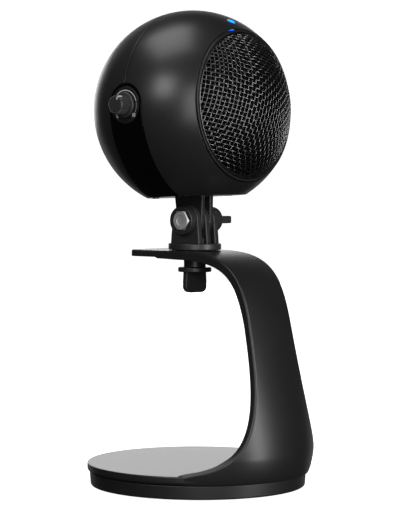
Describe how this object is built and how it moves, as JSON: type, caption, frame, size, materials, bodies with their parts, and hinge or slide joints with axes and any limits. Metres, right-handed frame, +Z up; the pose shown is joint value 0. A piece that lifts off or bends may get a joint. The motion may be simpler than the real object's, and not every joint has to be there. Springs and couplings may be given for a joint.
{
  "type": "desktop microphone",
  "caption": "Ball-shaped desktop microphone with a woven wire grille, gain knob and tilting finger mount on a C-shaped arm with a round weighted base.",
  "frame": {"origin": "on the desk, under the middle of the round base", "axes": "+Z up, -Y the way the grille faces, -X the side with the gain knob"},
  "size_m": [0.1018, 0.1037, 0.2151],
  "materials": {
    "shell_paint": "satin black paint",
    "arm_paint": "satin black powder paint",
    "base_iron": "satin black paint on iron",
    "rubber": "matte rubber",
    "screw_steel": "zinc-plated steel",
    "mount_plastic": "moulded black plastic",
    "bright_steel": "bright plated steel",
    "insert_brass": "turned brass",
    "band_gloss": "piano black plastic",
    "bezel_plastic": "satin black ring",
    "grille_wire": "dark plated woven wire",
    "foam": "open-cell black foam",
    "inner_plastic": "moulded black plastic",
    "nickel": "nickel-plated sheet",
    "board": "green solder mask",
    "led_blue": "clear blue light pipe",
    "dial_plastic": "satin black with a printed scale",
    "knob_plastic": "dark grey metallic plastic"
  },
  "bodies": {
    "base": {"arm": "arm_paint", "base_weight": "base_iron", "base_pad": "rubber", "base_screw_1": "screw_steel", "base_screw_2": "screw_steel", "base_screw_3": "screw_steel"},
    "tongue_screw": {"tongue_thumbscrew": "mount_plastic", "tongue_stud": "bright_steel"},
    "swivel": {"swivel_mount": "mount_plastic", "tilt_bolt": "bright_steel"},
    "tilt_nut": {"tilt_thumb_nut": "mount_plastic", "tilt_nut_insert": "insert_brass"},
    "head": {"front_shell": "shell_paint", "rear_shell": "shell_paint", "side_band": "band_gloss", "grille_bezel": "bezel_plastic", "grille_mesh": "grille_wire", "acoustic_foam": "foam", "capsule_plate": "inner_plastic", "capsule_ring": "rubber", "mic_capsule": "nickel", "main_board": "board", "usb_socket": "nickel", "headphone_jack": "inner_plastic", "led_lens": "led_blue", "led_board": "board", "chassis": "inner_plastic", "foot": "mount_plastic", "gain_dial": "dial_plastic", "gain_pot": "nickel", "volume_dial": "dial_plastic", "volume_pot": "nickel", "floor_screw_1": "screw_steel", "floor_screw_2": "screw_steel", "floor_screw_3": "screw_steel", "floor_screw_4": "screw_steel", "board_screw_1": "screw_steel", "board_screw_2": "screw_steel", "board_screw_3": "screw_steel", "board_screw_4": "screw_steel"},
    "gain_control": {"gain_knob": "knob_plastic"},
    "volume_control": {"volume_knob": "knob_plastic"}
  },
  "joints": [
    {"name": "mount_swivel", "type": "hinge", "parent": "base", "child": "swivel", "pos_m": [0, 0.0022, 0.1071], "axis": [0, 0, 1], "continuous": true},
    {"name": "head_tilt", "type": "hinge", "parent": "swivel", "child": "head", "pos_m": [0, 0.0022, 0.1204], "axis": [1, 0, 0], "range_deg": [-40, 45]},
    {"name": "gain_turn", "type": "hinge", "parent": "head", "child": "gain_control", "pos_m": [-0.0476, 0.00606, 0.17149], "axis": [1, 0, 0], "range_deg": [-135, 135]},
    {"name": "volume_turn", "type": "hinge", "parent": "head", "child": "volume_control", "pos_m": [0.0476, 0.00606, 0.17149], "axis": [-1, 0, 0], "range_deg": [-135, 135]},
    {"name": "tilt_nut_turn", "type": "hinge", "parent": "swivel", "child": "tilt_nut", "pos_m": [0.012, 0.0022, 0.1204], "axis": [1, 0, 0], "range_deg": [0, 270]},
    {"name": "tongue_screw_turn", "type": "hinge", "parent": "base", "child": "tongue_screw", "pos_m": [0, 0.0022, 0.098], "axis": [0, 0, -1], "range_deg": [0, 270]}
  ]
}
